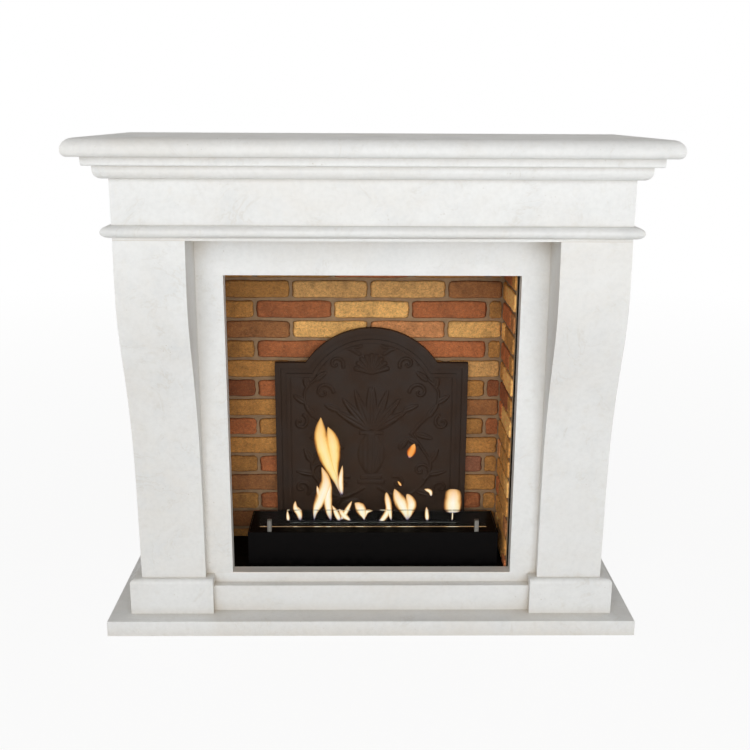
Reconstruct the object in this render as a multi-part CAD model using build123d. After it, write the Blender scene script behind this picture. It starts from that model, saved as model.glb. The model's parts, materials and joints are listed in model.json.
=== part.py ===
from build123d import *
from math import ceil, floor
import os

# Bioethanol fireplace: a limestone surround with S-curved pilasters round a brick-lined
# steel cassette, a cast-iron fireback and a lift-out ethanol burner.
# Millimetres. X runs to the right, Y away from the viewer to the wall, Z up.
# The origin is the middle of the bounding box at the floor. Depths are distances from the wall.

# overall
total_height = 1135.0
half_width = 616.0
shelf_reach = 520.0
wall_y = shelf_reach / 2

# hearth and plinth
hearth_height = 36.5
hearth_reach = 414.0
hearth_overhang = 75.0
arris = 2.5
block_height = 85.5
block_margin = 26.0
block_overlap = 18.0
block_reach = 374.0
block_edge_radius = 10.0
band_height = 63.2
band_reach = 356.0
block_top = hearth_height + block_height
band_top = hearth_height + band_height

# pilasters and jambs
pilaster_width = 150.0
pilaster_outer = half_width - hearth_overhang
pilaster_inner = pilaster_outer - pilaster_width
block_outer = pilaster_outer + block_margin
block_inner = pilaster_inner - block_overlap
pilaster_foot_reach = 358.0
pilaster_waist_reach = 364.0
pilaster_swell_reach = 451.0
pilaster_head_reach = 447.0
# The S-curve: shares of the pilaster's rise, and of the way from waist to swell.
waist_level = 0.29
lower_curve_level = 0.47
lower_curve_share = 0.17
upper_curve_level = 0.65
upper_curve_share = 0.60
shoulder_curve_level = 0.79
shoulder_curve_share = 0.954
swell_level = 0.88
jamb_reach = 335.0
jamb_thickness = 31.0
slip_width = 61.0
opening_half = pilaster_inner - slip_width
side_panel_thickness = 25.0

# shelf, cornice, frieze and lintel, from the top down
shelf_thickness = 37.0
upper_cornice_thickness = 18.0
lower_cornice_thickness = 27.0
frieze_height = 95.0
bead_height = 26.0
bead_rise = 6.0
top_slip_height = 89.0
upper_cornice_top = total_height - shelf_thickness
lower_cornice_top = upper_cornice_top - upper_cornice_thickness
frieze_top = lower_cornice_top - lower_cornice_thickness
frieze_bottom = frieze_top - frieze_height
bead_bottom = frieze_bottom - bead_height
lintel_bottom = bead_bottom - bead_rise
opening_top = lintel_bottom - top_slip_height
frieze_reach = 446.0
frieze_thickness = 30.0
bead_projection = 20.0
lower_cornice_projection = 26.0
lower_cornice_radius = 17.0
upper_cornice_projection = 44.0
upper_cornice_radius = 4.0
shelf_projection = shelf_reach - frieze_reach
shelf_top_radius = 23.0
shelf_bottom_radius = 12.0

# steel cassette
sheet = 2.0
left_lining_step = 32.0
right_lining_step = 10.0
left_flange_step = -2.0
right_flange_step = 3.5
floor_drop = 4.0
ceiling_rise = 25.0
cassette_left = -(opening_half + left_lining_step)
cassette_right = opening_half - right_lining_step
cassette_floor = block_top - floor_drop
cassette_ceiling = opening_top + ceiling_rise
cassette_front = jamb_reach - jamb_thickness
brick_face_reach = 115.0
leg_width = 40.0
leg_inset = 30.0

# brick lining
brick_thickness = 5.0
mortar_thickness = 15.0
course = 50.0
brick_pitch = 190.5
joint = 9.0
first_course = 24.5
odd_shift = -7.0
side_bond = 62.0
first_joint = cassette_floor + first_course

# threshold strip
strip_thickness = 2.0

# fireback
fireback_half = 238.0
fireback_body_height = 471.0
fireback_arch_rise = 87.0
fireback_shoulder = cassette_floor + fireback_body_height
fireback_top = fireback_shoulder + fireback_arch_rise
arch_half = 161.5
fireback_front = 140.0
fireback_plate = 12.0
fireback_rim = 6.0
rim_width = 14.0
rim_bead_width = 8.4
rim_bead_inset = 2 * rim_width

# burner
burner_x = 4.0
burner_side_gap = 27.0
burner_half = opening_half - burner_side_gap
burner_front = 277.0
burner_depth = 135.0
burner_back = burner_front - burner_depth
burner_height = 82.8
burner_top = cassette_floor + burner_height
housing_wall = 2.0
insert_clearance = 1.0
top_plate = 2.0
tank_end_gap = 48.0
tank_half = burner_half - tank_end_gap
tank_depth = 104.0
tank_height = 62.0
tank_wall = 1.5
lid_thickness = 1.8
lid_width = 32.0
lid_overlap = 8.0
lid_gap = 0.5
lug_thickness = 1.5
lug_length = 12.0
hanger_width = 36.5
slot_half = tank_half - hanger_width - lid_gap - lid_overlap
slot_width = 22.0
slot_setback = 70.5
slot_reach = burner_front - slot_setback
mouth_margin = 3.0
wool_margin = 4.0
ledge_width = 10.0

# glass wind pane
pane_end_gap = 29.0
pane_half = burner_half - pane_end_gap
pane_thickness = 4.0
pane_lift = 12.2
pane_height = 43.0
pane_setback = 7.0
pane_bottom = burner_top + pane_lift
pane_top = pane_bottom + pane_height
pane_reach = burner_front - pane_setback
pane_gap = 0.3
pane_arris = 0.4
post_inset = 23.0
post_x = pane_half - post_inset
post_width = 10.5
post_depth = 12.0
post_height = 29.2
post_top = burner_top + post_height
post_arris = 1.0
post_screw_radius = 2.5
post_screw_head = 1.2

# fixings
angle_leg = 30.0
angle_width = 40.0
angle_thickness = 3.0
angle_screw_radius = 4.0
angle_screw_head = 2.5
angle_screw_offset = 18.0
angle_reaches = (60.0, 220.0)

cassette_sides = ((-1, cassette_left, left_flange_step), (1, cassette_right, right_flange_step))
lining = brick_thickness + mortar_thickness


def block(x0, x1, d0, d1, z0, z1):
    """Box between two X values, two distances from the wall and two heights."""
    box = Box(abs(x1 - x0), abs(d1 - d0), abs(z1 - z0))
    return Pos((x0 + x1) / 2, wall_y - (d0 + d1) / 2, (z0 + z1) / 2) * box


def mirrored(side, x0, x1, d0, d1, z0, z1):
    """The same box on the left (side -1) or the right (side 1)."""
    return block(side * x0, side * x1, d0, d1, z0, z1)


def save(name, solids):
    """Write one sub-part: a solid, or a group of separate solids."""
    if isinstance(solids, list):
        solids = Compound(children=solids)
    export_step(solids, os.path.join("parts", name + ".step"))


def nose_profile(reach, bottom, top, top_radius, bottom_radius):
    """Face in local (outward, up): a slab edge with rounded upper and lower corners."""
    with BuildSketch() as sketch:
        with BuildLine():
            if top_radius > 0:
                Line((0, top), (reach - top_radius, top))
                CenterArc((reach - top_radius, top - top_radius), top_radius, 0, 90)
                Line((reach, top - top_radius), (reach, bottom + bottom_radius))
            else:
                Line((0, top), (reach, top))
                Line((reach, top), (reach, bottom + bottom_radius))
            CenterArc((reach - bottom_radius, bottom + bottom_radius), bottom_radius, 270, 90)
            Line((reach - bottom_radius, bottom), (0, bottom))
            Line((0, bottom), (0, top))
        make_face()
    return sketch.sketch


def moulded_slab(half, reach, bottom, top, top_radius, bottom_radius):
    """Slab against the wall whose edge moulding mitres at both front corners."""
    front = nose_profile(reach, bottom, top, top_radius, bottom_radius)
    side = nose_profile(half, bottom, top, top_radius, bottom_radius)
    toward_viewer = Plane(origin=(-half, wall_y, 0), x_dir=(0, -1, 0), z_dir=(-1, 0, 0))
    run = extrude(toward_viewer * front, amount=-2 * half)
    to_right = Plane(origin=(0, wall_y - reach, 0), x_dir=(1, 0, 0), z_dir=(0, -1, 0))
    right = extrude(to_right * side, amount=-reach)
    left = mirror(right, about=Plane.YZ)
    return run & (right + left)


def hearth_slab():
    slab = block(-half_width, half_width, 0, hearth_reach, 0, hearth_height)
    rim = slab.edges().filter_by_position(Axis.Z, hearth_height, hearth_height)
    rim = rim.filter_by(lambda e: e.center().Y < wall_y - 1)
    return fillet(rim, arris)


def plinth_block(side):
    body = mirrored(side, block_inner, block_outer, cassette_front, block_reach, hearth_height, block_top)
    rim = body.edges().filter_by_position(Axis.Z, block_top, block_top)
    rim = rim.filter_by(lambda e: e.center().Y < wall_y - cassette_front - 1)
    rim = rim.filter_by(lambda e: abs(e.center().X) > block_inner + 1)
    return fillet(rim, block_edge_radius)


def plinth_return(side):
    body = mirrored(side, pilaster_outer, block_outer, 0, cassette_front, hearth_height, block_top)
    rim = body.edges().filter_by_position(Axis.Z, block_top, block_top).filter_by(Axis.Y)
    rim = rim.filter_by(lambda e: abs(e.center().X) > block_outer - 1)
    return fillet(rim, block_edge_radius)


def pilaster(side):
    """S-curved jamb block: a flared foot, a hollow waist and a swelling head."""
    rise = lintel_bottom - block_top
    swell = pilaster_swell_reach - pilaster_waist_reach
    curve = [
        (pilaster_foot_reach, block_top),
        (pilaster_waist_reach, block_top + waist_level * rise),
        (pilaster_waist_reach + lower_curve_share * swell, block_top + lower_curve_level * rise),
        (pilaster_waist_reach + upper_curve_share * swell, block_top + upper_curve_level * rise),
        (pilaster_waist_reach + shoulder_curve_share * swell, block_top + shoulder_curve_level * rise),
        (pilaster_swell_reach, block_top + swell_level * rise),
        (pilaster_head_reach, lintel_bottom),
    ]
    with BuildSketch() as sketch:
        with BuildLine():
            Spline(*curve)
            Line(curve[-1], (cassette_front, lintel_bottom))
            Line((cassette_front, lintel_bottom), (cassette_front, block_top))
            Line((cassette_front, block_top), curve[0])
        make_face()
    x_start = side * (pilaster_inner + pilaster_outer) / 2
    width = pilaster_outer - pilaster_inner
    plane = Plane(origin=(x_start, wall_y, 0), x_dir=(0, -1, 0), z_dir=(-1, 0, 0))
    return extrude(plane * sketch.sketch, amount=width / 2, both=True)


def bead_profile():
    """Half-ellipse nose: local X is outward from the frieze face, local Y is up."""
    height = frieze_bottom - bead_bottom
    middle = (frieze_bottom + bead_bottom) / 2
    with BuildSketch() as sketch:
        with Locations((0, middle)):
            Ellipse(bead_projection, height / 2)
        with Locations((-bead_projection, middle)):
            Rectangle(2 * bead_projection, height, mode=Mode.SUBTRACT)
    return sketch.sketch


def corner_wedge(side):
    """Region outside the mitre plane, on the side of the return."""
    reach = frieze_reach
    size = 4 * shelf_reach
    points = [
        (side * pilaster_outer, wall_y - reach),
        (side * (pilaster_outer + size), wall_y - reach - size),
        (side * (pilaster_outer + size), wall_y + size),
        (side * pilaster_outer, wall_y + size),
    ]
    with BuildSketch() as sketch:
        with BuildLine():
            Polyline(*points, close=True)
        make_face()
    return extrude(Pos(0, 0, bead_bottom) * sketch.sketch, amount=frieze_bottom - bead_bottom)


def bead_front():
    reach = pilaster_outer + bead_projection
    plane = Plane(origin=(-reach, wall_y - frieze_reach, 0), x_dir=(0, -1, 0), z_dir=(-1, 0, 0))
    run = extrude(plane * bead_profile(), amount=-2 * reach)
    return run - corner_wedge(-1) - corner_wedge(1)


def bead_return(side):
    depth = frieze_reach + bead_projection
    plane = Plane(origin=(pilaster_outer, wall_y - depth, 0), x_dir=(1, 0, 0), z_dir=(0, -1, 0))
    run = extrude(plane * bead_profile(), amount=-depth)
    if side < 0:
        run = mirror(run, about=Plane.YZ)
    return run & corner_wedge(side)


def cassette_side(side, face, flange_step):
    """Side wall sheet with its front return flange bent inwards towards the opening."""
    inner = abs(face) + lining
    flange_edge = opening_half - flange_step
    back = brick_face_reach - lining - sheet
    wall = mirrored(side, inner, inner + sheet, back, cassette_front, cassette_floor, cassette_ceiling)
    flange = mirrored(side, flange_edge, inner, cassette_front - sheet, cassette_front,
                      cassette_floor, cassette_ceiling)
    return wall + flange


def cassette_legs():
    """Four folded channel legs that carry the cassette on the hearth slab."""
    left = cassette_left - lining + leg_inset
    right = cassette_right + lining - leg_inset - leg_width
    back = brick_face_reach - lining + leg_inset
    front = cassette_front - leg_inset - leg_width
    legs = []
    for x in (left, right):
        for d in (back, front):
            solid = block(x, x + leg_width, d, d + leg_width, hearth_height, cassette_floor - sheet)
            hollow = block(x + sheet, x + leg_width - sheet, d, d + leg_width - sheet,
                           hearth_height, cassette_floor - 2 * sheet)
            legs.append(solid - hollow)
    return legs


def wall_bricks(low, high, shift, make):
    """Running bond between two limits along the wall: odd courses are shifted."""
    bricks = []
    top = cassette_ceiling
    z = first_joint - course
    row = 0
    while z < top:
        z0 = max(z + joint / 2, cassette_floor)
        z1 = min(z + course - joint / 2, top)
        offset = shift[row % 2]
        first = floor((low - offset) / brick_pitch)
        last = ceil((high - offset) / brick_pitch)
        for k in range(first, last):
            a = max(offset + k * brick_pitch + joint / 2, low)
            b = min(offset + (k + 1) * brick_pitch - joint / 2, high)
            if b - a > joint and z1 - z0 > joint / 2:
                bricks.append(make(a, b, z0, z1))
        z += course
        row += 1
    return bricks


def back_bricks():
    shift = (brick_pitch / 2, brick_pitch + odd_shift)
    mortar = brick_face_reach - brick_thickness
    return wall_bricks(cassette_left, cassette_right, shift,
                       lambda a, b, z0, z1: block(a, b, mortar, brick_face_reach, z0, z1))


def side_bricks(side, face):
    shift = (side_bond, side_bond + brick_pitch / 2)
    outer = abs(face) + brick_thickness
    return wall_bricks(brick_face_reach, cassette_front - sheet, shift,
                       lambda a, b, z0, z1: mirrored(side, abs(face), outer, a, b, z0, z1))


def fireback_outline(inset):
    """Shouldered plate with a segmental arch; inset shrinks it evenly for the rim."""
    rise = fireback_top - fireback_shoulder
    radius = (arch_half ** 2 + rise ** 2) / (2 * rise)
    centre = fireback_top - radius
    low = cassette_floor + inset
    high = fireback_shoulder - inset
    half = fireback_half - inset
    arc = radius - inset
    spring = (arc ** 2 - (high - centre) ** 2) ** 0.5
    with BuildSketch() as sketch:
        with BuildLine():
            Polyline((-spring, high), (-half, high), (-half, low), (half, low), (half, high), (spring, high))
            ThreePointArc((spring, high), (0, centre + arc), (-spring, high))
        make_face()
    return sketch.sketch


def fireback():
    """Cast plate with a raised border moulding that follows the outline."""
    front = wall_y - fireback_front
    base = Plane(origin=(0, front + fireback_rim, 0), x_dir=(1, 0, 0), z_dir=(0, -1, 0))
    plate = extrude(base * fireback_outline(0), amount=-fireback_plate)
    ring = fireback_outline(0) - fireback_outline(rim_width)
    rim = extrude(base * ring, amount=fireback_rim)
    inner = fireback_outline(rim_bead_inset) - fireback_outline(rim_bead_inset + rim_bead_width)
    bead = extrude(base * inner, amount=fireback_rim / 2)
    return plate + rim + bead


def housing():
    left = burner_x - burner_half
    right = burner_x + burner_half
    outer = block(left, right, burner_back, burner_front, cassette_floor, burner_top)
    inner = block(left + housing_wall, right - housing_wall, burner_back + housing_wall,
                  burner_front - housing_wall, cassette_floor + housing_wall, burner_top + 1)
    return outer - inner


def housing_ledges():
    """Two angle ledges inside the housing ends, on which the top plate rests."""
    top = burner_top - top_plate
    ledges = []
    for side in (-1, 1):
        edge = burner_x + side * (burner_half - housing_wall)
        back = burner_back + housing_wall
        front = burner_front - housing_wall
        shelf = block(edge, edge - side * ledge_width, back, front, top - sheet, top)
        leg = block(edge, edge - side * sheet, back, front, top - ledge_width, top - sheet)
        ledges.append(shelf + leg)
    return ledges


def burner_top_plate():
    half = burner_half - housing_wall - insert_clearance
    back = burner_back + housing_wall + insert_clearance
    front = burner_front - housing_wall - insert_clearance
    plate = block(burner_x - half, burner_x + half, back, front, burner_top - top_plate, burner_top)
    slot = block(burner_x - slot_half, burner_x + slot_half, slot_reach - slot_width / 2,
                 slot_reach + slot_width / 2, burner_top - 2 * top_plate, burner_top + 1)
    return plate - slot


def tank_levels():
    top = burner_top - top_plate - lid_gap - lid_thickness
    return top - tank_height, top


def fuel_tank():
    """Open trough that holds the fuel and its wool; the cover closes it."""
    bottom, top = tank_levels()
    rim = top - tank_wall
    d0 = slot_reach - tank_depth / 2
    d1 = slot_reach + tank_depth / 2
    outer = block(burner_x - tank_half, burner_x + tank_half, d0, d1, bottom, rim)
    inner = block(burner_x - tank_half + tank_wall, burner_x + tank_half - tank_wall,
                  d0 + tank_wall, d1 - tank_wall, bottom + tank_wall, rim + 1)
    return outer - inner


def tank_cover():
    """Flat cover on the trough's rim, with a mouth a little narrower than the slot above."""
    bottom, top = tank_levels()
    plate = block(burner_x - tank_half, burner_x + tank_half, slot_reach - tank_depth / 2,
                  slot_reach + tank_depth / 2, top - tank_wall, top)
    mouth = slot_width / 2 - mouth_margin
    neck = block(burner_x - slot_half + mouth_margin, burner_x + slot_half - mouth_margin,
                 slot_reach - mouth, slot_reach + mouth, top - 2 * tank_wall, top + 1)
    return plate - neck


def tank_hangers():
    """Two bars at the tank's ends that hang it from the top plate and guide the lid."""
    bottom, top = tank_levels()
    bars = []
    for side in (-1, 1):
        outer = burner_x + side * tank_half
        inner = burner_x + side * (slot_half + lid_overlap + lid_gap)
        bars.append(block(inner, outer, slot_reach - tank_depth / 2, slot_reach + tank_depth / 2,
                          top, burner_top - top_plate))
    return bars


def absorbent_wool():
    bottom, top = tank_levels()
    half = tank_half - tank_wall - wool_margin
    depth = tank_depth / 2 - tank_wall - wool_margin
    return block(burner_x - half, burner_x + half, slot_reach - depth, slot_reach + depth,
                 bottom + tank_wall, top - tank_wall - wool_margin)


def regulating_lid():
    """Flat shutter that lies behind the slot, with a lug at its front edge for the hook."""
    bottom, top = tank_levels()
    front = slot_reach - slot_width / 2 + lid_gap + lug_thickness
    plate = block(burner_x - slot_half - lid_overlap, burner_x + slot_half + lid_overlap,
                  front - lid_width, front, top, top + lid_thickness)
    lug_end = burner_x + slot_half - lid_overlap
    lug = block(lug_end - lug_length, lug_end, front - lug_thickness, front,
                top + lid_thickness, burner_top)
    return plate + lug


def pane_posts():
    posts = []
    for side in (-1, 1):
        x = burner_x + side * post_x
        front = burner_front - housing_wall - insert_clearance
        body = block(x - post_width / 2, x + post_width / 2, front - post_depth, front, burner_top, post_top)
        body = fillet(body.edges().filter_by(Axis.Z), post_arris)
        groove = pane_thickness / 2 + pane_gap
        slot = block(x - post_width, x + post_width, pane_reach - groove, pane_reach + groove,
                     pane_bottom, post_top + 1)
        posts.append(body - slot)
    return posts


def post_screws():
    """Screw heads on the front of the posts that pinch the pane."""
    front = wall_y - (burner_front - housing_wall - insert_clearance)
    screws = []
    for side in (-1, 1):
        place = Pos(burner_x + side * post_x, front - post_screw_head / 2, (pane_bottom + burner_top) / 2)
        screws.append(place * Rot(90, 0, 0) * Cylinder(post_screw_radius, post_screw_head))
    return screws


def glass_pane():
    pane = block(burner_x - pane_half, burner_x + pane_half, pane_reach - pane_thickness / 2,
                 pane_reach + pane_thickness / 2, pane_bottom, pane_top)
    return chamfer(pane.edges().filter_by(Axis.X), pane_arris)


def fixing_angles():
    """Steel angles that hold each side panel down on the hearth slab."""
    inner = pilaster_outer - side_panel_thickness
    angles = []
    for side in (-1, 1):
        for d in angle_reaches:
            foot = mirrored(side, inner - angle_leg, inner, d, d + angle_width,
                            hearth_height, hearth_height + angle_thickness)
            leg = mirrored(side, inner - angle_thickness, inner, d, d + angle_width,
                           hearth_height, hearth_height + angle_leg)
            angles.append(foot + leg)
    return angles


def angle_screws():
    inner = pilaster_outer - side_panel_thickness
    screws = []
    for side in (-1, 1):
        for d in angle_reaches:
            middle = wall_y - d - angle_width / 2
            height = hearth_height + angle_thickness + angle_screw_head / 2
            head = Cylinder(angle_screw_radius, angle_screw_head)
            screws.append(Pos(side * (inner - angle_screw_offset), middle, height) * head)
            height = hearth_height + angle_screw_offset
            x = side * (inner - angle_thickness - angle_screw_head / 2)
            screws.append(Pos(x, middle, height) * Rot(0, 90, 0) * head)
    return screws


def build():
    os.makedirs("parts", exist_ok=True)
    save("hearth_slab", hearth_slab())
    save("plinth_band", block(-block_inner, block_inner, jamb_reach, band_reach, hearth_height, band_top))
    save("sill_rail", block(-block_inner, block_inner, cassette_front, jamb_reach, hearth_height, block_top))
    save("top_slip", block(-pilaster_inner, pilaster_inner, cassette_front, jamb_reach,
                           opening_top, lintel_bottom))
    save("lintel_beam", block(-pilaster_outer, pilaster_outer, cassette_front, frieze_reach,
                              lintel_bottom, frieze_bottom))
    save("frieze_panel", block(-pilaster_outer, pilaster_outer, frieze_reach - frieze_thickness, frieze_reach,
                               frieze_bottom, frieze_top))
    for side, name in ((-1, "left_"), (1, "right_")):
        save(name + "plinth_block", plinth_block(side))
        save(name + "plinth_return", plinth_return(side))
        save(name + "pilaster", pilaster(side))
        save(name + "slip", mirrored(side, opening_half, pilaster_inner, cassette_front, jamb_reach,
                                     block_top, opening_top))
        save(name + "side_panel", mirrored(side, pilaster_outer - side_panel_thickness, pilaster_outer, 0,
                                           cassette_front, hearth_height, frieze_bottom))
        save(name + "frieze_return", mirrored(side, pilaster_outer - frieze_thickness, pilaster_outer, 0,
                                              frieze_reach - frieze_thickness, frieze_bottom, frieze_top))
        save(name + "bead_return", bead_return(side))
    save("bead_front", bead_front())
    save("lower_cornice", moulded_slab(pilaster_outer + lower_cornice_projection,
                                       frieze_reach + lower_cornice_projection,
                                       frieze_top, lower_cornice_top, 0, lower_cornice_radius))
    save("upper_cornice", moulded_slab(pilaster_outer + upper_cornice_projection,
                                       frieze_reach + upper_cornice_projection,
                                       lower_cornice_top, upper_cornice_top, 0, upper_cornice_radius))
    save("mantel_shelf", moulded_slab(pilaster_outer + shelf_projection, shelf_reach, upper_cornice_top,
                                      total_height, shelf_top_radius, shelf_bottom_radius))
    save("threshold_strip", block(-opening_half, opening_half, cassette_front, jamb_reach,
                                  block_top, block_top + strip_thickness))

    left = cassette_left - lining - sheet
    right = cassette_right + lining + sheet
    back = brick_face_reach - lining - sheet
    save("cassette_floor", block(left, right, back, cassette_front, cassette_floor - sheet, cassette_floor))
    save("cassette_back", block(left + sheet, right - sheet, back, back + sheet,
                                cassette_floor, cassette_ceiling))
    save("cassette_ceiling", block(left, right, back, cassette_front,
                                   cassette_ceiling, cassette_ceiling + sheet))
    save("cassette_legs", cassette_legs())
    mortar = brick_face_reach - brick_thickness
    save("back_mortar_panel", block(left + sheet, right - sheet, back + sheet, mortar,
                                    cassette_floor, cassette_ceiling))
    save("back_bricks", back_bricks())
    for side, face, flange_step in cassette_sides:
        name = "left_" if side < 0 else "right_"
        save(name + "cassette_side", cassette_side(side, face, flange_step))
        inner = abs(face) + brick_thickness
        save(name + "mortar_panel", mirrored(side, inner, abs(face) + lining, mortar, cassette_front - sheet,
                                             cassette_floor, cassette_ceiling))
        save(name + "bricks", side_bricks(side, face))
    save("fireback", fireback())

    save("burner_housing", housing())
    save("housing_ledges", housing_ledges())
    save("burner_top_plate", burner_top_plate())
    save("fuel_tank", fuel_tank())
    save("tank_cover", tank_cover())
    save("tank_hangers", tank_hangers())
    save("absorbent_wool", absorbent_wool())
    save("regulating_lid", regulating_lid())
    save("pane_posts", pane_posts())
    save("post_screws", post_screws())
    save("glass_pane", glass_pane())
    save("fixing_angles", fixing_angles())
    save("angle_screws", angle_screws())


build()
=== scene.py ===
"""Looks of a bioethanol fireplace: limestone surround, brick lining, cast fireback, burner and flames."""

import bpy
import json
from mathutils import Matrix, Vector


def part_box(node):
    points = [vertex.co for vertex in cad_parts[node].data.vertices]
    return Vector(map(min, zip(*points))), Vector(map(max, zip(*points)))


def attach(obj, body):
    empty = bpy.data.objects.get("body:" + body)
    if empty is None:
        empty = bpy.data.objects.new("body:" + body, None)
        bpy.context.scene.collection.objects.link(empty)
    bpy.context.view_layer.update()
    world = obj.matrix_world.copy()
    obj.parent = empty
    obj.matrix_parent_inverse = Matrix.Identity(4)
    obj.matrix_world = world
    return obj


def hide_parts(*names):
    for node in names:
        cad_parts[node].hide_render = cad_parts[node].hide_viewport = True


bl_info = {
    "name": "Bioethanol fireplace finish",
    "version": (1, 0, 0),
    "blender": (4, 5, 0),
    "location": "3D View > Sidebar > Fireplace",
    "description": "Finishes the stone, brick, iron, glass and flames of a bioethanol fireplace",
    "category": "Object",
}

import json
import math

import bpy
import numpy as np
from mathutils import Matrix

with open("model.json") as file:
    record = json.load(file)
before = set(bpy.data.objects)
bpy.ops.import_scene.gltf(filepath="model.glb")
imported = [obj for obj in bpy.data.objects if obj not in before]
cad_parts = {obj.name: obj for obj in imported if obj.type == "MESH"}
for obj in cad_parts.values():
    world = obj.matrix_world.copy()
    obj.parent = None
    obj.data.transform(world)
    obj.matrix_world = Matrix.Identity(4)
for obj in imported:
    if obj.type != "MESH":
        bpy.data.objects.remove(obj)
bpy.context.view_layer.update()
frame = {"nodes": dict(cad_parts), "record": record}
WALL_Y = 0.260


def reach(distance):
    """Y of the plane that lies this far, in metres, in front of the wall."""
    return WALL_Y - distance


class FireplaceStone(bpy.types.PropertyGroup):
    """Colours and scale of the honed limestone."""

    light: bpy.props.FloatVectorProperty(
        name="Light", description="Body colour of the stone", subtype="COLOR",
        size=3, min=0, max=1, default=(0.800, 0.805, 0.800))
    warm: bpy.props.FloatVectorProperty(
        name="Warm", description="Beige clouds in the stone", subtype="COLOR",
        size=3, min=0, max=1, default=(0.760, 0.745, 0.715))
    cool: bpy.props.FloatVectorProperty(
        name="Cool", description="Grey clouds in the stone", subtype="COLOR",
        size=3, min=0, max=1, default=(0.745, 0.755, 0.755))
    pit_size: bpy.props.FloatProperty(name="Pit size", description="Width of the largest pits", unit="LENGTH",
                                      default=0.0022)


class FireplaceBrick(bpy.types.PropertyGroup):
    """Sizes of the brick lining."""

    course: bpy.props.FloatProperty(name="Course", description="Height of a course with its joint",
                                    unit="LENGTH", default=0.050)
    pitch: bpy.props.FloatProperty(name="Pitch", description="Length of a brick with its joint",
                                   unit="LENGTH", default=0.1905)
    joint: bpy.props.FloatProperty(name="Joint", description="Narrowest mortar joint", unit="LENGTH",
                                   default=0.0055)
    relief: bpy.props.FloatProperty(name="Relief", description="How far a brick stands out of its mortar",
                                    unit="LENGTH", default=0.005)
    mortar: bpy.props.FloatVectorProperty(
        name="Mortar", description="Colour of the joints", subtype="COLOR",
        size=3, min=0, max=1, default=(0.345, 0.220, 0.122))


class FireplaceFlame(bpy.types.PropertyGroup):
    """Size and brightness of the flames."""

    height: bpy.props.FloatProperty(name="Height", description="Scale of every tongue's height", default=1.0)
    glow: bpy.props.FloatProperty(name="Glow", description="Brightness of the flame", default=1.0)


def new_group(name, inputs, outputs):
    """Node group with named sockets: (name, socket type, default)."""
    group = bpy.data.node_groups.new(name, "ShaderNodeTree")
    for label, kind, default in inputs:
        socket = group.interface.new_socket(name=label, in_out="INPUT", socket_type=kind)
        if default is not None:
            socket.default_value = default
    for label, kind in outputs:
        group.interface.new_socket(name=label, in_out="OUTPUT", socket_type=kind)
    return group, group.nodes.new("NodeGroupInput"), group.nodes.new("NodeGroupOutput")


def ramp(tree, factor, stops):
    """Colour ramp through (position, grey or rgb) stops."""
    node = tree.nodes.new("ShaderNodeValToRGB")
    elements = node.color_ramp.elements
    while len(elements) < len(stops):
        elements.new(0.5)
    for element, (position, colour) in zip(elements, stops):
        element.position = position
        rgb = (colour, colour, colour) if isinstance(colour, (int, float)) else colour
        element.color = (*rgb, 1.0)
    tree.links.new(factor, node.inputs["Fac"])
    return node.outputs["Color"]


def mix_colour(tree, factor, a, b, blend="MIX"):
    """Mix two colours; a and b are sockets or rgb values."""
    node = tree.nodes.new("ShaderNodeMix")
    node.data_type = "RGBA"
    node.blend_type = blend
    if isinstance(factor, (int, float)):
        node.inputs["Factor"].default_value = factor
    else:
        tree.links.new(factor, node.inputs["Factor"])
    for value, index in ((a, 6), (b, 7)):
        if isinstance(value, bpy.types.NodeSocket):
            tree.links.new(value, node.inputs[index])
        else:
            node.inputs[index].default_value = (*value, 1.0)
    return node.outputs[2]


def maths(tree, operation, a, b):
    """Math node on sockets or numbers."""
    node = tree.nodes.new("ShaderNodeMath")
    node.operation = operation
    for value, index in ((a, 0), (b, 1)):
        if isinstance(value, bpy.types.NodeSocket):
            tree.links.new(value, node.inputs[index])
        else:
            node.inputs[index].default_value = value
    return node.outputs[0]


def noise(tree, vector, scale, detail=4.0, roughness=0.55, distortion=0.0):
    """Fractal noise on a vector socket."""
    node = tree.nodes.new("ShaderNodeTexNoise")
    node.inputs["Scale"].default_value = scale
    node.inputs["Detail"].default_value = detail
    node.inputs["Roughness"].default_value = roughness
    node.inputs["Distortion"].default_value = distortion
    tree.links.new(vector, node.inputs["Vector"])
    return node.outputs["Fac"]


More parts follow.
